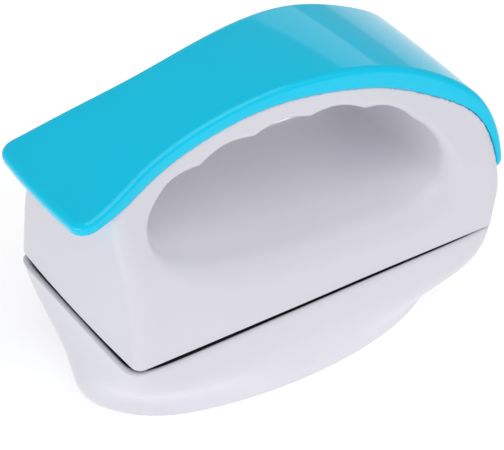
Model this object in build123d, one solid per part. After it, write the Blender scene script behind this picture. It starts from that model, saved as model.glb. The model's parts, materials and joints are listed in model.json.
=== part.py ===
from build123d import *
import math
import os

os.makedirs("parts", exist_ok=True)

# Floating magnetic glass cleaner, in two halves that meet at a plane:
# a float (a sealed boat-shaped hull with a scrubbing pad on its deck) and
# a handle unit (a shell with a hand opening, a curved grip cover and a felt pad).
# +Z is up, X runs along the length with the grip cover's lip at -X, Y across.
# The origin is on the ground under the middle of the whole object.

# ---- driving dimensions, mm ----
BODY_X = 3.2            # middle of the two bodies; the lip reaches further out at -X
PART_Z = 35.0           # height of the plane where the two halves meet
HALF_LENGTH = 61.3      # of the handle shell at its lower edge
HALF_WIDTH = 32.9       # of the handle shell at its lower edge
RIM_STEP = 1.0          # how far the hull's rim stands out past the handle shell
CORNER_POWER = 12.0     # superellipse power of the rounded-rectangle plan
GAP_LIP_END = 0.75      # half the visible gap between the shells at the lip end
GAP_TIP_END = 0.25      # half the visible gap at the other end
PLAY = 0.05             # clearance between parts that only touch
PAD_THICKNESS = 1.55    # felt pad and scrub pad
PAD_INSET = 1.5         # edge of each pad, in from the shell that holds it
WALL = 2.2              # shell wall
PLATE_THICKNESS = 1.8   # deck plate and base plate
MAGNET = (26.0, 20.0, 5.0)
MAGNET_X = 27.0         # magnet centres from the body's middle
MAGNET_Y = 13.0
FRAME_WALL = 1.2        # moulded frame round each magnet
YOKE = (28.0, 48.0, 1.2)
HOOK_STRIP = (18.0, 40.0, 0.6)
HOOK_STRIP_X = 42.0
COVER_THICKNESS = 5.5
COVER_TIP_THICKNESS = 2.6
TAPER_FROM = 7          # point of COVER_LINE from which the cover thins to its tip
COVER_POST_RADIUS = 2.0
COVER_POST_DEPTH = 3.0
SCREW_X = 50.0
SCREW_Y = 22.0
SCREW_RADIUS = 1.45
SCREW_HEAD_RADIUS = 2.8
SCREW_HEAD_HEIGHT = 1.2
SCREW_LENGTH = 6.5
BOSS_RADIUS = 3.6
BIG = 400.0             # larger than the whole object, for cutting tools

# Hull sections: height below the parting plane, half length, half width, power.
HULL_SECTIONS = (
    (-35.0, 54.6, 24.7, 2.5),
    (-33.6, 58.4, 27.3, 2.1),
    (-31.0, 60.9, 28.9, 2.0),
    (-27.0, 61.8, 30.2, 2.07),
    (-20.0, 61.8, 31.9, 2.9),
    (-13.0, 61.6, 33.6, 6.1),
    (-6.0, 62.1, 34.2, 11.0),
    (1.0, HALF_LENGTH + RIM_STEP, HALF_WIDTH + RIM_STEP, CORNER_POWER),
)
# Handle shell sections: height above the parting plane, lowest x, highest x, half width.
SHELL_SECTIONS = (
    (-1.0, -HALF_LENGTH, HALF_LENGTH, HALF_WIDTH),
    (16.0, -61.0, 66.2, 32.5),
    (75.0, -60.0, 66.6, 31.0),
)
# Top line of the grip cover in side view, from the lip to the tip.
COVER_LINE = (
    (-72.8, 48.0), (-64.0, 50.3), (-50.0, 55.4), (-30.0, 60.9), (-10.0, 64.5), (8.0, 65.0),
    (24.0, 62.5), (44.0, 54.0), (54.6, 47.0), (61.4, 40.0), (64.8, 33.2), (66.4, 26.0), (66.4, 16.5),
)
# Half width of the cover against height above the parting plane.
COVER_WIDTH = ((12.0, 32.6), (58.0, 18.6), (67.0, 18.6))
# Half width of the handle shell against height: a vertical band, then flanks that lean in.
FLANK = ((-2.0, 34.0), (13.0, 32.8), (20.0, 30.6), (58.0, 18.0), (68.0, 16.0))
# Places of the cover's posts: x, distance to each side, height of the post's middle.
POSTS = ((-56.0, 11.0, 48.0), (55.0, 12.0, 40.0))
# Outline of the hand opening in side view.
OPENING = (
    (-51.0, 37.0), (-44.5, 27.5), (-27.0, 20.0), (-4.0, 15.0), (20.0, 12.8), (40.0, 13.4),
    (48.0, 18.5), (48.6, 27.0), (43.5, 36.0), (34.0, 44.5), (16.0, 52.2), (-2.0, 53.8),
    (-20.0, 52.3), (-38.0, 48.6), (-48.0, 44.0),
)
OUTLINE_POINTS = 48


def place(shape):
    """Move from the bodies' own middle and parting plane to the object's frame."""
    return Pos(BODY_X, 0, PART_Z) * shape


def save(shape, node):
    export_step(place(shape), "parts/" + node + ".step")


def plan(half_length, half_width, power, z, x_middle=0.0):
    """Superellipse face at height z."""
    points = []
    for i in range(OUTLINE_POINTS):
        angle = 2 * math.pi * i / OUTLINE_POINTS
        c = math.cos(angle)
        s = math.sin(angle)
        k = (abs(c) ** power + abs(s) ** power) ** (-1 / power)
        points.append((x_middle + half_length * c * k, half_width * s * k, z))
    return make_face(Spline(points, periodic=True))


def slab(inset, z_low, z_high, half_length=HALF_LENGTH, half_width=HALF_WIDTH):
    """Upright block with the bodies' plan, drawn in by inset."""
    face = plan(half_length - inset, half_width - inset, CORNER_POWER, z_low)
    return extrude(face, amount=z_high - z_low, dir=(0, 0, 1))


def tilted_plane(lip_z, tip_z):
    """Plane through z = lip_z at the lip end and z = tip_z at the other end."""
    slope = math.atan2(tip_z - lip_z, 2 * HALF_LENGTH)
    return Plane(
        origin=(0, 0, (lip_z + tip_z) / 2),
        x_dir=(math.cos(slope), 0, math.sin(slope)),
        z_dir=(-math.sin(slope), 0, math.cos(slope)),
    )


def side_block(edges, half_width):
    """Closed outline in the XZ plane made solid to half_width on each side."""
    face = make_face(edges)
    return extrude(face, amount=half_width, dir=(0, 1, 0), both=True)


def end_block(outline):
    """Half-width table against height, made a solid along the whole length."""
    right = [(0, w, z) for z, w in outline]
    left = [(0, -w, z) for z, w in reversed(outline)]
    face = make_face(Polyline(right + left, close=True))
    return extrude(face, amount=BIG / 2, dir=(1, 0, 0), both=True)


def hull_loft(inset, z_lift):
    """Hull-shaped solid, drawn in by inset and with its bottom lifted by z_lift."""
    faces = []
    for z, half_length, half_width, power in HULL_SECTIONS:
        height = max(z, -35.0) + z_lift * (-z / 35.0 if z < 0 else 0)
        faces.append(plan(half_length - inset, half_width - inset, power, height))
    return loft(faces)


def magnet_places():
    """Centres of the magnets in plan."""
    return [(sx * MAGNET_X, sy * MAGNET_Y) for sx in (-1, 1) for sy in (-1, 1)]


def screw_places():
    return [(sx * SCREW_X, sy * SCREW_Y) for sx in (-1, 1) for sy in (-1, 1)]


def upright(x, y, radius, z_low, z_high):
    return Pos(x, y, (z_low + z_high) / 2) * Cylinder(radius, z_high - z_low)


def box_at(x, y, size, z_low):
    return Pos(x, y, z_low + size[2] / 2) * Box(*size)


def magnet_frames(z_low):
    """Four open rectangular frames that hold the magnets."""
    frames = []
    for x, y in magnet_places():
        outer = (MAGNET[0] + 2 * (PLAY + FRAME_WALL), MAGNET[1] + 2 * (PLAY + FRAME_WALL), MAGNET[2])
        inner = (MAGNET[0] + 2 * PLAY, MAGNET[1] + 2 * PLAY, MAGNET[2] + 2)
        frames.append(box_at(x, y, outer, z_low) - box_at(x, y, inner, z_low - 1))
    return frames


# ---- levels, from the parting plane outward ----
pad_far = PLAY + PAD_THICKNESS
plate_far = pad_far + PLATE_THICKNESS
magnet_far = plate_far + MAGNET[2]
yoke_far = magnet_far + YOKE[2]

# ---- hull shell: sealed boat-shaped float, open on top for the deck plate ----
rim_plane = tilted_plane(-GAP_LIP_END, -GAP_TIP_END)
hull = hull_loft(0, 0)
hull -= hull_loft(WALL + 1.2, WALL)
hull -= slab(WALL - 0.4, -plate_far - PLAY, 5)
hull = split(hull, bisect_by=rim_plane, keep=Keep.BOTTOM)
save(hull, "hull_shell")

# ---- deck plate: closes the hull and holds the inner magnets in frames below it ----
deck = slab(WALL - 0.4 + PLAY, -plate_far, -pad_far)
for frame in magnet_frames(-magnet_far):
    deck += frame
for side in (-1, 1):
    deck -= box_at(side * HOOK_STRIP_X, 0, HOOK_STRIP, -pad_far - HOOK_STRIP[2])
save(deck, "deck_plate")

# ---- deck seal: flat ring that seals the deck plate's edge against the hull ----
seal = slab(WALL - 0.4 + PLAY, -pad_far + 0.02, -PLAY - 0.95) - slab(WALL + 1.8, -pad_far - 1, 1)
save(seal, "deck_seal")

# ---- hook strips that hold the scrub pad on the deck ----
for number, side in enumerate((-1, 1), start=1):
    strip = box_at(side * HOOK_STRIP_X, 0, HOOK_STRIP, -pad_far - HOOK_STRIP[2])
    save(strip, "hook_strip_%d" % number)

# ---- scrub pad: full-size pad on the deck, stepped over the seal ring ----
scrub = slab(PAD_INSET + 0.4, -PLAY - 0.93, -PLAY) + slab(WALL + 1.9, -pad_far, -PLAY)
save(scrub, "scrub_pad")

# ---- handle shell: arch with the hand opening, and a pocket below for the magnets ----
shell_faces = []
for z, x_low, x_high, half_width in SHELL_SECTIONS:
    shell_faces.append(
        plan((x_high - x_low) / 2, half_width, CORNER_POWER, z, (x_high + x_low) / 2)
    )
shell = loft(shell_faces, ruled=True)


def cover_under_line():
    """Points of the cover's underside: the top line moved in by the cover's thickness."""
    points = []
    last = len(COVER_LINE) - 1
    for i, (x, z) in enumerate(COVER_LINE):
        ahead = COVER_LINE[min(i + 1, last)]
        behind = COVER_LINE[max(i - 1, 0)]
        along = (ahead[0] - behind[0], ahead[1] - behind[1])
        length = math.hypot(along[0], along[1])
        ease = max(0.0, (i - TAPER_FROM) / (last - TAPER_FROM))
        depth = COVER_THICKNESS + (COVER_TIP_THICKNESS - COVER_THICKNESS) * ease
        points.append((x + depth * along[1] / length, 0, z - depth * along[0] / length))
    return points


under_points = cover_under_line()
over_points = [(x, 0, z) for x, z in COVER_LINE]
over_line = Spline(over_points)
under_line = Spline(under_points)

# The arch fills everything below the cover's underside.
arch_edges = [
    under_line,
    Polyline(under_points[-1], (70, 0, 16.5), (70, 0, -10), (-80, 0, -10), under_points[0]),
]
shell &= side_block(arch_edges, 40)
shell &= end_block(FLANK)
opening_line = Spline([(x, 0, z) for x, z in OPENING], periodic=True)
shell -= side_block([opening_line], 40)
shell -= slab(WALL, -5, pad_far + PLATE_THICKNESS + PLAY)
pocket = slab(WALL + 1.2, -5, yoke_far + PLAY)
for x, y in screw_places():
    pocket -= upright(x, y, BOSS_RADIUS, plate_far + PLAY, yoke_far + 1)
shell -= pocket
for x, y in screw_places():
    shell -= upright(x, y, SCREW_RADIUS + 0.02, -5, plate_far + SCREW_LENGTH - 1)

# Hollow in the arch at the lip end, opened by the same moulding core as the pocket.
core = Pos(-55.2, 0, 24.0) * Box(3.6, 44.0, 34.0)
shell -= core
shell = split(shell, bisect_by=tilted_plane(GAP_LIP_END, GAP_TIP_END), keep=Keep.TOP)

# ---- grip cover: curved strip over the arch, with posts set into the shell ----
cover_edges = [
    over_line,
    Line(over_points[-1], under_points[-1]),
    under_line,
    Line(under_points[0], over_points[0]),
]
cover = side_block(cover_edges, 40) & end_block(COVER_WIDTH)
clear_of_cover = side_block(arch_edges, 40)
for x, y, z in POSTS:
    for side in (-1, 1):
        middle = Pos(x, side * y, z)
        hole = middle * Cylinder(COVER_POST_RADIUS + PLAY, 2 * COVER_POST_DEPTH)
        post = middle * Cylinder(COVER_POST_RADIUS, 2 * COVER_POST_DEPTH - 0.2)
        shell -= hole & clear_of_cover
        cover += post & clear_of_cover
save(cover, "grip_cover")
save(shell, "handle_shell")

# ---- base plate: closes the pocket and holds the outer magnets in frames above it ----
base = slab(WALL + PLAY, pad_far, plate_far)
for frame in magnet_frames(plate_far):
    base += frame
for x, y in screw_places():
    base -= upright(x, y, SCREW_RADIUS + 0.15, pad_far - 1, plate_far + 1)
    base -= upright(x, y, SCREW_HEAD_RADIUS + 0.2, pad_far - 1, pad_far + SCREW_HEAD_HEIGHT)
save(base, "base_plate")

# ---- base screws: four countersunk into the base plate, up into the bosses ----
screws = []
for x, y in screw_places():
    head = upright(x, y, SCREW_HEAD_RADIUS, pad_far + 0.1, pad_far + SCREW_HEAD_HEIGHT)
    shank = upright(x, y, SCREW_RADIUS, pad_far + SCREW_HEAD_HEIGHT, pad_far + SCREW_LENGTH)
    recess = Pos(x, y, pad_far + 0.3) * Box(2.6, 0.5, 0.8)
    screws.append(head + shank - recess)
save(Compound(screws), "base_screws")

# ---- felt pad on the base plate ----
save(slab(PAD_INSET + 0.9, PLAY, pad_far), "felt_pad")

# ---- magnets and steel yoke plates, the same set in each half ----
for number, (x, y) in enumerate(magnet_places(), start=1):
    save(box_at(x, y, MAGNET, plate_far), "outer_magnet_%d" % number)
    save(box_at(x, y, MAGNET, -magnet_far), "inner_magnet_%d" % number)
for number, side in enumerate((-1, 1), start=1):
    save(box_at(side * MAGNET_X, 0, YOKE, magnet_far), "outer_yoke_plate_%d" % number)
    save(box_at(side * MAGNET_X, 0, YOKE, -yoke_far), "inner_yoke_plate_%d" % number)
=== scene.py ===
"""Looks of the floating magnetic glass cleaner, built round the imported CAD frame.

Shapes are worked out in millimetres in the bodies' own frame: x from the middle of the
bodies' length, y from the middle of their width, z from the plane where the halves meet.
"""

import json
import math

import bpy
import numpy as np
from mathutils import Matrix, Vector


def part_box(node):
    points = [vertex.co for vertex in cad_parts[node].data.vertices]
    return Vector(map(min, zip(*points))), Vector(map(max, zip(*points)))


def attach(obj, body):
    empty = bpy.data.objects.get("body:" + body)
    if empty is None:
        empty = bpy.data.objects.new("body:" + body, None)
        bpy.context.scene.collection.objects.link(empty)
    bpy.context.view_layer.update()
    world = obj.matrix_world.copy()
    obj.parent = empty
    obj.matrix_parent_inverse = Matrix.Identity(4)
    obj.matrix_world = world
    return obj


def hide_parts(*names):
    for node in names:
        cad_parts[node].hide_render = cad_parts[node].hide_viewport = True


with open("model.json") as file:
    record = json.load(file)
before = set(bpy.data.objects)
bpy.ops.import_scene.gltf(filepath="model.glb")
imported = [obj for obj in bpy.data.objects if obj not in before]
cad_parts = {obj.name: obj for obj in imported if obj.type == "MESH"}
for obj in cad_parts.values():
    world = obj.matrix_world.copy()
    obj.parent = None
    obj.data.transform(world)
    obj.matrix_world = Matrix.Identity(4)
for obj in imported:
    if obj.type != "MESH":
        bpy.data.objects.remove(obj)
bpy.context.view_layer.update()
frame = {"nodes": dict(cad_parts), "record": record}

# ---- the frame's own sizes ----
MM = 0.001
hull_low, hull_high = (np.array(corner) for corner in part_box("hull_shell"))
felt_low, felt_high = (np.array(corner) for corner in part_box("felt_pad"))
scrub_low, scrub_high = (np.array(corner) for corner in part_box("scrub_pad"))
BODY_X = (hull_low[0] + hull_high[0]) / 2
PART_Z = (felt_low[2] + scrub_high[2]) / 2
HULL_DEPTH = PART_Z / MM

# ---- driving sizes of the visible shapes, mm ----
HALF_LENGTH = 61.2          # handle shell, lower edge, at its corners
HALF_WIDTH = 32.85
END_BOW = 0.9               # how far each end bulges past its corners
CORNER_RADIUS = 2.8         # of the vertical corners at the gap; it grows with height
CORNER_GROWTH = 0.16        # per mm of height
END_SWELL = 4.8             # how far the tip end leans out above the gap
END_SWELL_Z = (-4.0, 20.0)
LIP_END_LEAN = 0.015        # inward, per mm of height
SIDE_LEAN = 0.02
LEAN_TOP = 60.0
FLANK_STEP = 0.6            # from the lower edge in to the foot of the leaning flank
FLANK_RADIUS = 5.0          # soft edge between the ends and the flank
GAP_LIP_END = 0.75          # half the visible gap between the shells at the lip end
GAP_TIP_END = 0.25
RIM_STEP = 1.0
EDGE_RADIUS = 0.5
SHELL_CELL = 0.75           # mesh size of the handle shell
GAP_CELL = 0.2              # and of its lower edge, in height
PAD_RECESS = 2.2            # wall of the handle shell round its pads
RECESS_TOP = 3.5            # top of the recess for the pad and base plate
POCKET_INSET = 6.2
POCKET_TOP = 9.8            # top of the magnet pocket
SADDLE_RISE = 6.0           # how far the opening's floor rises at mid width
SADDLE_HALF_WIDTH = 33.0
SADDLE_Z = (40.0, 14.0)     # no rise above the first height, all of it below the second
MOUTH_RADIUS = 1.8          # round edge of the opening at its top
MOUTH_GROWTH = 5.0          # added to it at the opening's floor
MOUTH_Z = (38.0, 12.0)
COVER_THICKNESS = 4.8
COVER_HAUNCH = 1.5          # extra thickness past the crest
COVER_TIP_THICKNESS = 2.5
COVER_LIP_THINNING = 1.2
COVER_EDGE_RADIUS = 2.0
COVER_CROWN = 0.35          # how far the top face rises at mid width
LIP_CORNER_RADIUS = 5.0
LIP_BOW = 1.2               # how far the lip's end curves back at its corners
TIP_CORNER_RADIUS = 4.0
COVER_OVERHANG = 0.5        # how far the cover's side stands out past the flank
FINGER_PITCH = 17.6
FINGER_DEPTH = 1.3
FINGER_START = 4.6          # x of one of the ridges between the grooves
FINGER_LOW_X = (-50.0, -40.0)   # the grooves fade in here
FINGER_HIGH_X = (44.0, 36.0)    # and out here
FINGER_Z = (34.0, 44.0)
HULL_RIM_RADIUS = 0.9
HULL_DECK_WALL = 1.9        # rim's width round the deck
HULL_DECK_DEPTH = 4.0
HULL_DECK_INSET = 30.0      # innermost row of the deck recess's floor
HULL_RIM_DROP = 0.6         # height of the rim's rounding
HULL_FOOT_RADIUS = 1.6
HULL_FOOT_RUN = 4.0         # lowest part of the hull, in closer rows
HULL_FLAT_INSET = 14.0
FELT_INSET = 2.35
SCRUB_INSET = 1.85
PAD_BOW = 0.6
PAD_POWER = 14.0            # superellipse power of the pads' plan

# Grip cover's top line in side view, from the lip to the tip.
COVER_LINE = (
    (-72.8, 48.0), (-64.0, 50.3), (-50.0, 55.4), (-30.0, 60.9), (-10.0, 64.5), (8.0, 65.0),
    (24.0, 62.5), (44.0, 54.0), (54.6, 47.0), (61.4, 40.0), (64.8, 33.2), (66.4, 26.0), (66.4, 16.5),
)
# Cover's half width against its own length, as a part of the whole from lip to tip.
COVER_WIDTH = (
    (0.0, 23.2), (0.06, 21.9), (0.16, 18.4), (0.30, 16.3), (0.42, 17.4), (0.55, 19.5),
    (0.70, 20.8), (0.82, 23.6), (0.92, 27.0), (1.0, 30.0),
)
# Height of the crease between the vertical band and the leaning flank, along x.
CREASE = ((-70.0, 25.0), (-57.0, 23.0), (-26.0, 18.0), (12.0, 14.0), (40.0, 14.5), (70.0, 17.0))
# Outline of the hand opening where it meets the flank, anticlockwise from the left.
OPENING = (
    (-51.0, 37.0), (-44.5, 27.5), (-27.0, 20.0), (-4.0, 15.0), (20.0, 12.8), (40.0, 13.4),
    (48.0, 18.5), (48.6, 27.0), (43.5, 36.0), (34.0, 44.5), (16.0, 52.2), (-2.0, 53.8),
    (-20.0, 52.3), (-38.0, 48.6), (-48.0, 44.0),
)
# Hull sections: depth below the parting plane, half length, half width, superellipse power.
HULL_SECTIONS = (
    (0.0, HALF_LENGTH + 1.7, HALF_WIDTH + RIM_STEP, 14.0),
    (6.0, 62.1, 34.2, 11.0),
    (13.0, 61.6, 33.6, 6.1),
    (20.0, 61.8, 31.9, 2.9),
    (27.0, 61.8, 30.2, 2.07),
    (31.0, 60.9, 28.9, 2.0),
    (33.6, 58.4, 27.3, 2.1),
    (35.0, 54.6, 24.7, 2.5),
)


# ---------------------------------------------------------------- curves and fields
def natural_spline(knots, values):
    """Smooth curve through values at knots; returns a function."""
    t = np.asarray(knots, float)
    v = np.asarray(values, float)
    n = len(t)
    h = np.diff(t)
    matrix = np.eye(n)
    right = np.zeros(n)
    for i in range(1, n - 1):
        matrix[i, i - 1:i + 2] = h[i - 1], 2 * (h[i - 1] + h[i]), h[i]
        right[i] = 6 * ((v[i + 1] - v[i]) / h[i] - (v[i] - v[i - 1]) / h[i - 1])
    bend = np.linalg.solve(matrix, right)

    def at(x):
        x = np.asarray(x, float)
        i = np.clip(np.searchsorted(t, x) - 1, 0, n - 2)
        a = (t[i + 1] - x) / h[i]
        b = (x - t[i]) / h[i]
        curve = ((a ** 3 - a) * bend[i] + (b ** 3 - b) * bend[i + 1]) * h[i] ** 2 / 6
        return a * v[i] + b * v[i + 1] + curve

    return at


def table_curve(table):
    return natural_spline([row[0] for row in table], [row[1] for row in table])


def chord_knots(points):
    steps = np.hypot(*np.diff(np.asarray(points, float), axis=0).T)
    return np.concatenate([[0.0], np.cumsum(steps)])


def smooth_step(a, b, x):
    t = np.clip((x - a) / (b - a), 0.0, 1.0)
    return t * t * (3 - 2 * t)


def round_max(a, b, radius):
    """Intersection of two fields with a convex edge of the given radius."""
    u = np.maximum(a + radius, 0.0)
    v = np.maximum(b + radius, 0.0)
    return np.minimum(np.maximum(a, b), -radius) + np.hypot(u, v)


class PlaneMap:
    """A field on the XZ plane, sampled once on a grid and read back with cubic weights."""

    STEP = 0.5

    def __init__(self, field, low, high):
        self.low = np.asarray(low, float)
        self.size = [int((b - a) / self.STEP) + 2 for a, b in zip(low, high)]
        x = low[0] + self.STEP * np.arange(self.size[0])
        z = low[1] + self.STEP * np.arange(self.size[1])
        self.grid = field(x[:, None], z[None, :])

    @staticmethod
    def weights(t):
        return (
            -0.5 * t + t ** 2 - 0.5 * t ** 3,
            1 - 2.5 * t ** 2 + 1.5 * t ** 3,
            0.5 * t + 2 * t ** 2 - 1.5 * t ** 3,
            -0.5 * t ** 2 + 0.5 * t ** 3,
        )

    def __call__(self, x, z):
        x, z = np.broadcast_arrays(x, z)
        u = (x - self.low[0]) / self.STEP
        w = (z - self.low[1]) / self.STEP
        i = np.clip(u.astype(int), 1, self.size[0] - 3)
        j = np.clip(w.astype(int), 1, self.size[1] - 3)
        total = 0.0
        column = self.weights(w - j)
        for di, row_weight in enumerate(self.weights(u - i)):
            for dj in range(4):
                total = total + row_weight * column[dj] * self.grid[i + di - 1, j + dj - 1]
        return total


def line_distance(x, z, points, closed):
    """Distance to a polyline, signed: positive to the left of its direction."""
    ends = np.roll(points, -1, axis=0) if closed else points[1:]
    starts = points if closed else points[:-1]
    best = np.full(np.broadcast(x, z).shape, np.inf)
    sign = np.ones_like(best)
    for (ax, az), (bx, bz) in zip(starts, ends):
        dx, dz = bx - ax, bz - az
        px, pz = x - ax, z - az
        t = np.clip((px * dx + pz * dz) / (dx * dx + dz * dz), 0.0, 1.0)
        far = (px - t * dx) ** 2 + (pz - t * dz) ** 2
        nearer = far < best - 1e-9
        best = np.where(nearer, far, best)
        sign = np.where(nearer, np.where(dx * pz - dz * px > 0, 1.0, -1.0), sign)
    return sign * np.sqrt(best)


# ---------------------------------------------------------------- surface meshing
def surface_net(field, axes, passes=3):
    """Closed mesh of field = 0 on a rectilinear grid, with its vertices on the surface."""
    grid = field(axes[0][:, None, None], axes[1][None, :, None], axes[2][None, None, :])
    inside = grid < 0
    cells = tuple(n - 1 for n in grid.shape)
    count = np.zeros(cells, np.int8)
    for i in (0, 1):
        for j in (0, 1):
            for k in (0, 1):
                count += inside[i:cells[0] + i, j:cells[1] + j, k:cells[2] + k]
    active = (count > 0) & (count < 8)
    number = np.full(cells, -1, np.int64)
    number[active] = np.arange(active.sum())
    ci, cj, ck = np.nonzero(active)
    total = np.zeros((len(ci), 3))
    hits = np.zeros(len(ci))
    for axis in range(3):
        for p in (0, 1):
            for q in (0, 1):
                offset = [p, q]
                offset.insert(axis, 0)
                a = (ci + offset[0], cj + offset[1], ck + offset[2])
                step = [0, 0, 0]
                step[axis] = 1
                b = tuple(a[d] + step[d] for d in range(3))
                fa, fb = grid[a], grid[b]
                crossing = (fa < 0) != (fb < 0)
                t = np.where(crossing, fa / np.where(crossing, fa - fb, 1.0), 0.0)
                point = np.stack([axes[d][a[d]] for d in range(3)], axis=1)
                point[:, axis] += t * (axes[axis][b[axis]] - axes[axis][a[axis]])
                total[crossing] += point[crossing]
                hits += crossing
    points = total / hits[:, None]
    faces = []
    for axis in range(3):
        first = [slice(None)] * 3
        second = [slice(None)] * 3
        first[axis] = slice(0, -1)
        second[axis] = slice(1, None)
        changes = inside[tuple(first)] != inside[tuple(second)]
        index = np.nonzero(changes)
        others = [d for d in range(3) if d != axis]
        keep = np.ones(len(index[0]), bool)
        for d in others:
            keep &= (index[d] > 0) & (index[d] < cells[d])
        index = [i[keep] for i in index]
        corners = []
        for u, w in ((0, 0), (1, 0), (1, 1), (0, 1)):
            place = list(index)
            place[others[0]] = index[others[0]] - u
            place[others[1]] = index[others[1]] - w
            corners.append(number[tuple(place)])
        quad = np.stack(corners, axis=1)
        leaving = inside[tuple(first)][tuple(index)]
        flip = leaving if axis != 1 else ~leaving
        quad[~flip] = quad[~flip][:, ::-1]
        faces.append(quad)
    faces = np.concatenate(faces)
    reach = min(float(np.min(np.diff(axis_points))) for axis_points in axes)
    for _ in range(passes):
        value, slope = field_slope(field, points)
        size = np.maximum((slope ** 2).sum(axis=1), 0.05)
        move = np.clip(value / size, -reach, reach)
        points = points - move[:, None] * slope
    return points, faces


def field_slope(field, points):
    """Field and its gradient at a list of points."""
    step = 0.04
    x, y, z = points.T
    slope = np.stack([
        (field(x + step, y, z) - field(x - step, y, z)) / (2 * step),
        (field(x, y + step, z) - field(x, y - step, z)) / (2 * step),
        (field(x, y, z + step) - field(x, y, z - step)) / (2 * step),
    ], axis=1)
    return field(x, y, z), slope


def steps(low, high, cell):
    return np.linspace(low, high, int(math.ceil((high - low) / cell)) + 1)


def joined(*parts):
    return np.unique(np.round(np.concatenate(parts), 5))


def build_mesh(name, points, faces, normals=None):
    """Object from points in millimetres in the bodies' frame."""
    place = points * MM + np.array([BODY_X, 0.0, PART_Z])
    mesh = bpy.data.meshes.new(name)
    mesh.from_pydata(place.tolist(), [], [list(map(int, f)) for f in faces])
    mesh.update()
    mesh.shade_smooth()
    if normals is not None:
        length = np.maximum(np.linalg.norm(normals, axis=1), 1e-9)
        mesh.normals_split_custom_set_from_vertices((normals / length[:, None]).tolist())
    piece = bpy.data.objects.new(name, mesh)
    bpy.context.scene.collection.objects.link(piece)
    return piece


# ---------------------------------------------------------------- shared lines
cover_knots = chord_knots(COVER_LINE)
cover_x = natural_spline(cover_knots, [p[0] for p in COVER_LINE])
cover_z = natural_spline(cover_knots, [p[1] for p in COVER_LINE])
COVER_LENGTH = cover_knots[-1]
cover_half_width = table_curve(COVER_WIDTH)
crease_height = table_curve(CREASE)


def cover_frame(s):
    """Point and outward normal of the cover's top line at length s."""
    ds = 0.05
    x, z = cover_x(s), cover_z(s)
    tx = cover_x(s + ds) - cover_x(s - ds)
    tz = cover_z(s + ds) - cover_z(s - ds)
    size = np.hypot(tx, tz)
    return x, z, -tz / size, tx / size


def cover_depth(s):
    """Thickness of the cover: thickest past the crest, thin at the tip and the lip."""
    part = smooth_step(0.72 * COVER_LENGTH, COVER_LENGTH, s)
    lip = smooth_step(0.12 * COVER_LENGTH, 0.0, s)
    haunch = COVER_HAUNCH * smooth_step(0.35 * COVER_LENGTH, 0.62 * COVER_LENGTH, s) * (1 - part)
    plain = COVER_THICKNESS + (COVER_TIP_THICKNESS - COVER_THICKNESS) * part
    return plain + haunch - COVER_LIP_THINNING * lip


def cover_side(s):
    return cover_half_width(s / COVER_LENGTH)


def gap_edge(x):
    """Height of the handle shell's lower edge along x."""
    part = (x + HALF_LENGTH) / (2 * HALF_LENGTH)
    return GAP_LIP_END + (GAP_TIP_END - GAP_LIP_END) * part


# Underside of the cover, carried on past both ends so that it can bound the arch.
under_s = steps(0.0, COVER_LENGTH, 0.9)
ux, uz, unx, unz = cover_frame(under_s)
under_depth = cover_depth(under_s) + 0.05
under_points = np.stack([ux - under_depth * unx, uz - under_depth * unz], axis=1)
under_start = [[-95.0, under_points[0, 1] - 4.0]]
under_end = [[under_points[-1, 0], -20.0]]
under_line = np.concatenate([under_start, under_points, under_end])


def opening_outline():
    """Hand opening as a dense closed line."""
    loop = list(OPENING) * 3
    knots = chord_knots(loop)
    n = len(OPENING)
    span = np.linspace(knots[n], knots[2 * n], 361)[:-1]
    return np.stack([
        natural_spline(knots, [p[0] for p in loop])(span),
        natural_spline(knots, [p[1] for p in loop])(span),
    ], axis=1)


MAP_LOW = (-80.0, -6.0)
MAP_HIGH = (76.0, 70.0)
opening_line = opening_outline()
opening_map = PlaneMap(lambda x, z: -line_distance(x, z, opening_line, True), MAP_LOW, MAP_HIGH)
under_map = PlaneMap(lambda x, z: line_distance(x, z, under_line, False), MAP_LOW, MAP_HIGH)


# ---------------------------------------------------------------- handle shell
def ends_field(x, y, z):
    """Plan outline of the handle shell with its leaning ends and round corners."""
    lift = np.clip(z, 0.0, LEAN_TOP)
    right = HALF_LENGTH + END_SWELL * smooth_step(*END_SWELL_Z, z)
    left = HALF_LENGTH - LIP_END_LEAN * lift
    bow = END_BOW * (1 - (y / HALF_WIDTH) ** 2)
    radius = CORNER_RADIUS + CORNER_GROWTH * lift
    end = np.maximum(x - right - bow, -x - left - bow)
    side = np.abs(y) - HALF_WIDTH + SIDE_LEAN * lift
    return round_max(end, side, radius)


def flank_field(x, y, z):
    """Leaning upper side: from the crease out to the cover's lower edge."""
    crease = crease_height(x)
    top_z = flank_height(x)
    top_y = flank_width(x)
    foot_y = HALF_WIDTH - FLANK_STEP
    lean = (foot_y - top_y) / np.maximum(top_z - crease, 4.0)
    width = foot_y - lean * (z - crease)
    return (np.abs(y) - width) / np.sqrt(1 + lean ** 2)


# Height and half width of the cover's lower edge, along x.
edge_s = steps(0.0, 0.93 * COVER_LENGTH, 6.0)
ex, ez, enx, enz = cover_frame(edge_s)
edge_x = ex - cover_depth(edge_s) * enx
edge_z = ez - cover_depth(edge_s) * enz
edge_y = cover_side(edge_s) - COVER_OVERHANG
edge_order = np.argsort(edge_x)
flank_height_curve = natural_spline(edge_x[edge_order], edge_z[edge_order])
flank_width_curve = natural_spline(edge_x[edge_order], edge_y[edge_order])
EDGE_X_LOW = float(edge_x.min())
EDGE_X_HIGH = float(edge_x.max())


def flank_height(x):
    return flank_height_curve(np.clip(x, EDGE_X_LOW, EDGE_X_HIGH))


def flank_width(x):
    return flank_width_curve(np.clip(x, EDGE_X_LOW, EDGE_X_HIGH))


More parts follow.
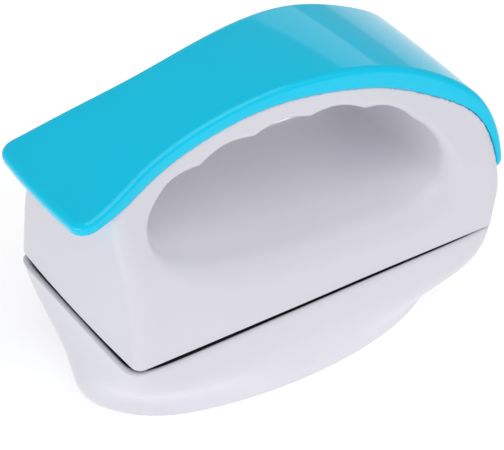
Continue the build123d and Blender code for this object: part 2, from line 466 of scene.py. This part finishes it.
def finger_grooves(x, z):
    """Row of shallow grooves across the underside of the grip, with ridges between them."""
    wave = np.abs(np.sin(math.pi * (x - FINGER_START) / FINGER_PITCH))
    fade = smooth_step(*FINGER_LOW_X, x) * smooth_step(*FINGER_HIGH_X, x) * smooth_step(*FINGER_Z, z)
    return FINGER_DEPTH * (wave - 0.35) * fade


def shell_field(x, y, z):
    outer = round_max(ends_field(x, y, z), flank_field(x, y, z), FLANK_RADIUS)
    outer = round_max(outer, gap_edge(x) - z, EDGE_RADIUS)
    outer = np.maximum(outer, under_map(x, z))
    saddle = SADDLE_RISE * (1 - np.minimum(np.abs(y) / SADDLE_HALF_WIDTH, 1.0) ** 4)
    hole = opening_map(x, z) - finger_grooves(x, z) + saddle * smooth_step(*SADDLE_Z, z)
    mouth = MOUTH_RADIUS + MOUTH_GROWTH * smooth_step(*MOUTH_Z, z)
    outer = round_max(outer, -hole, mouth)
    plan = ends_field(x, y, z * 0)
    recess = np.maximum(plan + PAD_RECESS, z - RECESS_TOP)
    pocket = np.minimum(recess, np.maximum(plan + POCKET_INSET, z - POCKET_TOP))
    return round_max(outer, -pocket, 0.3)


def make_shell():
    axes = (
        joined(steps(-64.0, 69.0, SHELL_CELL)),
        joined(steps(-34.5, 34.5, SHELL_CELL)),
        joined(steps(-0.6, 2.4, GAP_CELL), steps(2.4, 62.0, SHELL_CELL)),
    )
    points, faces = surface_net(shell_field, axes)
    _, slope = field_slope(shell_field, points)
    return build_mesh("handle_body", points, faces, slope)


# ---------------------------------------------------------------- grip cover
def cover_field(s, y, n):
    """Cover in its own coordinates: length, across, and height from its top face."""
    half = cover_side(np.clip(s, 0.0, COVER_LENGTH))
    lip_bow = LIP_BOW * (y / COVER_WIDTH[0][1]) ** 2
    lip = round_max(lip_bow - s, np.abs(y) - half, LIP_CORNER_RADIUS)
    tip = round_max(s - COVER_LENGTH, np.abs(y) - half, TIP_CORNER_RADIUS)
    plan = np.maximum(lip, tip)
    crown = COVER_CROWN * (1 - (y / np.maximum(half, 1.0)) ** 2)
    top = n - crown
    radius = np.minimum(COVER_EDGE_RADIUS, 0.8 * cover_depth(s))
    body = round_max(plan, top, radius)
    return round_max(body, -n - cover_depth(s), 0.35)


def make_cover():
    axes = (
        joined(steps(-1.6, 8.0, 0.4), steps(8.0, COVER_LENGTH - 8.0, 1.0),
               steps(COVER_LENGTH - 8.0, COVER_LENGTH + 1.6, 0.4)),
        joined(steps(-32.0, 32.0, 0.5)),
        joined(steps(-6.4, -3.2, 0.4), steps(-3.2, 1.2, 0.3)),
    )
    points, faces = surface_net(cover_field, axes)
    _, slope = field_slope(cover_field, points)
    s, y, n = points.T
    x, z, nx, nz = cover_frame(s)
    place = np.stack([x + n * nx, y, z + n * nz], axis=1)
    tx, tz = nz, -nx
    normal = np.stack([slope[:, 0] * tx + slope[:, 2] * nx, slope[:, 1],
                       slope[:, 0] * tz + slope[:, 2] * nz], axis=1)
    return build_mesh("cover_strip", place, faces, normal)


# ---------------------------------------------------------------- hull
def superellipse(half_length, half_width, power, count=240):
    """Points of a superellipse, at even turns round its centre."""
    angle = np.linspace(0, 2 * math.pi, count, endpoint=False)
    c, s = np.cos(angle), np.sin(angle)
    k = (np.abs(c) ** power + np.abs(s) ** power) ** (-1 / power)
    return half_length * c * k, half_width * s * k


def make_hull():
    depth = [row[0] for row in HULL_SECTIONS]
    curves = [natural_spline(depth, [row[i] for row in HULL_SECTIONS]) for i in (1, 2)]
    power_curve = natural_spline(depth, [math.log(row[3]) for row in HULL_SECTIONS])
    rows = []

    def add(z, inset, section_depth):
        a = float(curves[0](section_depth)) - inset
        b = float(curves[1](section_depth)) - inset
        x, y = superellipse(a, b, math.exp(float(power_curve(section_depth))))
        rows.append((x, y, z(x) if callable(z) else np.full_like(x, z)))

    def rim(lower):
        return lambda x: -gap_edge(x) - lower

    # Inner floor of the deck recess, up its wall, over the rounded rim and down the outside.
    add(-HULL_DECK_DEPTH, HULL_DECK_INSET, 0.0)
    add(-HULL_DECK_DEPTH, HULL_DECK_WALL, 0.0)
    add(-HULL_RIM_RADIUS * 2, HULL_RIM_RADIUS * 2, 0.0)
    for angle in np.linspace(0, math.pi, 7):
        add(rim(HULL_RIM_DROP * (1 - math.sin(angle))), HULL_RIM_RADIUS * (1 + math.cos(angle)), 0.0)
    sides = np.linspace(2.0, HULL_DEPTH - HULL_FOOT_RUN, 30)
    foot = np.linspace(HULL_DEPTH - 0.9 * HULL_FOOT_RUN, HULL_DEPTH, 14)[:-1]
    for depth_below in (*sides, *foot):
        add(-depth_below, 0.0, depth_below)
    for angle in np.linspace(0, math.pi / 2, 8)[1:]:
        add(-HULL_DEPTH, HULL_FOOT_RADIUS * math.sin(angle), HULL_DEPTH)
    add(-HULL_DEPTH, HULL_FLAT_INSET, HULL_DEPTH)
    count = len(rows[0][0])
    points = np.concatenate([np.stack(row, axis=1) for row in rows])
    faces = []
    for i in range(len(rows) - 1):
        for j in range(count):
            k = (j + 1) % count
            faces.append(((i + 1) * count + j, (i + 1) * count + k, i * count + k, i * count + j))
    faces.append(list(range(count)))
    last = (len(rows) - 1) * count
    faces.append([last + j for j in range(count)][::-1])
    return build_mesh("float_hull", points, faces)


# ---------------------------------------------------------------- pads
def make_pad(name, inset, low, high, soft):
    """Flat pad with rounded edges and the bodies' plan."""
    rows = []
    steps_up = 5
    for angle in np.linspace(-math.pi / 2, math.pi / 2, steps_up + 1):
        edge = inset + soft * (1 - math.cos(angle))
        x, y = superellipse(HALF_LENGTH + PAD_BOW - edge, HALF_WIDTH - edge, PAD_POWER)
        z = (low + high) / 2 + (high - low) / 2 * math.sin(angle)
        rows.append(np.stack([x, y, np.full_like(x, z)], axis=1))
    count = len(rows[0])
    faces = []
    for i in range(steps_up):
        for j in range(count):
            k = (j + 1) % count
            faces.append((i * count + j, i * count + k, (i + 1) * count + k, (i + 1) * count + j))
    faces.append(list(range(count))[::-1])
    faces.append([steps_up * count + j for j in range(count)])
    return build_mesh(name, np.concatenate(rows), faces)


# ---------------------------------------------------------------- materials
def material(name, color, roughness, metal=0.0):
    """Principled material; returns it with its nodes for the detail that follows."""
    mat = bpy.data.materials.new(name)
    mat.use_nodes = True
    nodes = mat.node_tree.nodes
    shader = nodes["Principled BSDF"]
    shader.inputs["Base Color"].default_value = (*color, 1.0)
    shader.inputs["Roughness"].default_value = roughness
    shader.inputs["Metallic"].default_value = metal
    return mat, nodes, mat.node_tree.links, shader


def noise(nodes, links, scale, detail=3.0):
    texture = nodes.new("ShaderNodeTexNoise")
    texture.inputs["Scale"].default_value = scale
    texture.inputs["Detail"].default_value = detail
    place = nodes.new("ShaderNodeTexCoord")
    links.new(place.outputs["Object"], texture.inputs["Vector"])
    return texture.outputs["Fac"]


def ramp(nodes, links, source, low, high):
    """Map a 0..1 texture to colours low..high."""
    node = nodes.new("ShaderNodeValToRGB")
    node.color_ramp.elements[0].color = (*low, 1.0)
    node.color_ramp.elements[0].position = 0.3
    node.color_ramp.elements[1].color = (*high, 1.0)
    node.color_ramp.elements[1].position = 0.7
    links.new(source, node.inputs["Fac"])
    return node.outputs["Color"]


def bump(nodes, links, shader, source, strength, distance):
    node = nodes.new("ShaderNodeBump")
    node.inputs["Strength"].default_value = strength
    node.inputs["Distance"].default_value = distance
    links.new(source, node.inputs["Height"])
    links.new(node.outputs["Normal"], shader.inputs["Normal"])


def moulded(name, low, high, rough_low, rough_high, specular, grain=900.0, strength=0.03):
    """Injection-moulded plastic: slight colour drift, uneven gloss and a fine skin."""
    mat, nodes, links, shader = material(name, high, rough_high)
    shader.inputs["Specular IOR Level"].default_value = specular
    links.new(ramp(nodes, links, noise(nodes, links, 22.0), low, high), shader.inputs["Base Color"])
    gloss = nodes.new("ShaderNodeMapRange")
    gloss.inputs["To Min"].default_value = rough_low
    gloss.inputs["To Max"].default_value = rough_high
    links.new(noise(nodes, links, 60.0), gloss.inputs["Value"])
    links.new(gloss.outputs["Result"], shader.inputs["Roughness"])
    bump(nodes, links, shader, noise(nodes, links, grain), strength, 0.0002)
    return mat


def fibre(name, low, high, scale, strength):
    """Felt or scrubbing fibre: matted strands with sheen."""
    mat, nodes, links, shader = material(name, high, 0.95)
    shader.inputs["Sheen Weight"].default_value = 0.25
    links.new(ramp(nodes, links, noise(nodes, links, scale, 8.0), low, high), shader.inputs["Base Color"])
    bump(nodes, links, shader, noise(nodes, links, scale * 1.7, 8.0), strength, 0.0006)
    return mat


def metal_plate(name, low, high, rough):
    mat, nodes, links, shader = material(name, high, rough, metal=1.0)
    links.new(ramp(nodes, links, noise(nodes, links, 140.0), low, high), shader.inputs["Base Color"])
    bump(nodes, links, shader, noise(nodes, links, 1400.0), 0.12, 0.0002)
    return mat


MATERIALS = {
    "shell_white": moulded("shell_white", (0.735, 0.725, 0.79), (0.75, 0.74, 0.80), 0.30, 0.36, 0.4),
    "cover_gloss": moulded("cover_gloss", (0.0, 0.62, 0.90), (0.0, 0.64, 0.92), 0.07, 0.09, 0.30),
    "plate_dark": moulded("plate_dark", (0.030, 0.030, 0.034), (0.042, 0.042, 0.046), 0.5, 0.6, 0.4,
                          600.0, 0.15),
    "screw_steel": metal_plate("screw_steel", (0.50, 0.50, 0.52), (0.62, 0.62, 0.64), 0.3),
    "felt": fibre("felt", (0.004, 0.004, 0.006), (0.014, 0.014, 0.018), 900.0, 0.6),
    "scrub_fibre": fibre("scrub_fibre", (0.003, 0.003, 0.004), (0.016, 0.016, 0.02), 420.0, 1.0),
    "hook_tape": fibre("hook_tape", (0.02, 0.02, 0.02), (0.05, 0.05, 0.05), 1200.0, 0.8),
    "seal_rubber": moulded("seal_rubber", (0.02, 0.02, 0.02), (0.03, 0.03, 0.03), 0.6, 0.7, 0.4,
                           800.0, 0.2),
    "magnet_ferrite": moulded("magnet_ferrite", (0.035, 0.035, 0.038), (0.06, 0.06, 0.065), 0.45, 0.6,
                              0.4, 1500.0, 0.3),
    "yoke_steel": metal_plate("yoke_steel", (0.42, 0.42, 0.44), (0.55, 0.55, 0.57), 0.35),
}

replaced = []
felt_z = [(corner[2] - PART_Z) / MM for corner in (felt_low, felt_high)]
scrub_z = [(corner[2] - PART_Z) / MM for corner in (scrub_low, scrub_high)]
for piece, node, body, slot in (
    (make_shell(), "handle_shell", "handle_unit", "shell_white"),
    (make_cover(), "grip_cover", "handle_unit", "cover_gloss"),
    (make_hull(), "hull_shell", "float_unit", "shell_white"),
    (make_pad("felt_face", FELT_INSET, *felt_z, 0.25), "felt_pad", "handle_unit", "felt"),
    (make_pad("scrub_face", SCRUB_INSET, *scrub_z, 0.3), "scrub_pad", "float_unit", "scrub_fibre"),
):
    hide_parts(node)
    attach(piece, body)
    piece.data.materials.append(MATERIALS[slot])
    replaced.append(node)

for entry in frame["record"]["subparts"]:
    if entry["node"] not in replaced:
        mesh = frame["nodes"][entry["node"]].data
        mesh.materials.clear()
        mesh.materials.append(MATERIALS[entry["material_slot"]])


# ---------------------------------------------------------------- stage, camera and light
def make_floor():
    mesh = bpy.data.meshes.new("floor")
    size = 3.0
    corners = [(-size, -size, 0), (size, -size, 0), (size, size, 0), (-size, size, 0)]
    mesh.from_pydata(corners, [], [(0, 1, 2, 3)])
    floor = bpy.data.objects.new("floor", mesh)
    bpy.context.scene.collection.objects.link(floor)
    mat, _, _, shader = material("floor_paper", (0.93, 0.93, 0.935), 0.9)
    shader.inputs["Emission Color"].default_value = (1.0, 1.0, 1.0, 1.0)
    shader.inputs["Emission Strength"].default_value = 0.38
    mesh.materials.append(mat)


MIDDLE = (0.0, 0.0, 0.045)


def area_light(name, place, size, power):
    """Rectangular lamp aimed at the middle of the object."""
    data = bpy.data.lights.new(name, "AREA")
    data.shape = "RECTANGLE"
    data.size, data.size_y = size
    data.energy = power
    lamp = bpy.data.objects.new(name, data)
    bpy.context.scene.collection.objects.link(lamp)
    lamp.location = place
    direction = Vector(MIDDLE) - Vector(place)
    lamp.rotation_euler = direction.to_track_quat("-Z", "Y").to_euler()


bpy.context.scene.view_settings.view_transform = "Standard"
make_floor()
world = bpy.data.worlds.new("studio")
world.use_nodes = True
world.node_tree.nodes["Background"].inputs["Color"].default_value = (1.0, 1.0, 1.0, 1.0)
world.node_tree.nodes["Background"].inputs["Strength"].default_value = 0.42
bpy.context.scene.world = world
area_light("key", (-0.10, -0.42, 0.95), (0.8, 0.8), 3.4)
area_light("left_low", (-0.70, -0.14, 0.06), (0.5, 0.1), 0.7)
area_light("edge_strip_high", (0.20, -0.60, 0.76), (1.2, 0.035), 0.55)
area_light("edge_strip_low", (0.22, -0.76, 0.56), (1.2, 0.03), 0.4)
area_light("back_strip", (0.55, 0.75, 0.42), (0.7, 0.25), 0.35)

CAMERA_PLACE = np.array([-319.99, -485.67, 464.08]) * MM + np.array([BODY_X, 0.0, PART_Z])
CAMERA_AZIMUTH = math.radians(-33.2)
CAMERA_ELEVATION = math.radians(38.3)
FOCAL_MM = 181.6
camera_data = bpy.data.cameras.new("camera")
camera_data.lens = FOCAL_MM
camera_data.sensor_width = 36.0
camera_data.sensor_fit = "HORIZONTAL"
camera_data.clip_start = 0.01
camera_data.clip_end = 20.0
camera = bpy.data.objects.new("camera", camera_data)
bpy.context.scene.collection.objects.link(camera)
camera.location = CAMERA_PLACE
camera.rotation_euler = (math.pi / 2 - CAMERA_ELEVATION, 0.0, CAMERA_AZIMUTH)
bpy.context.scene.camera = camera
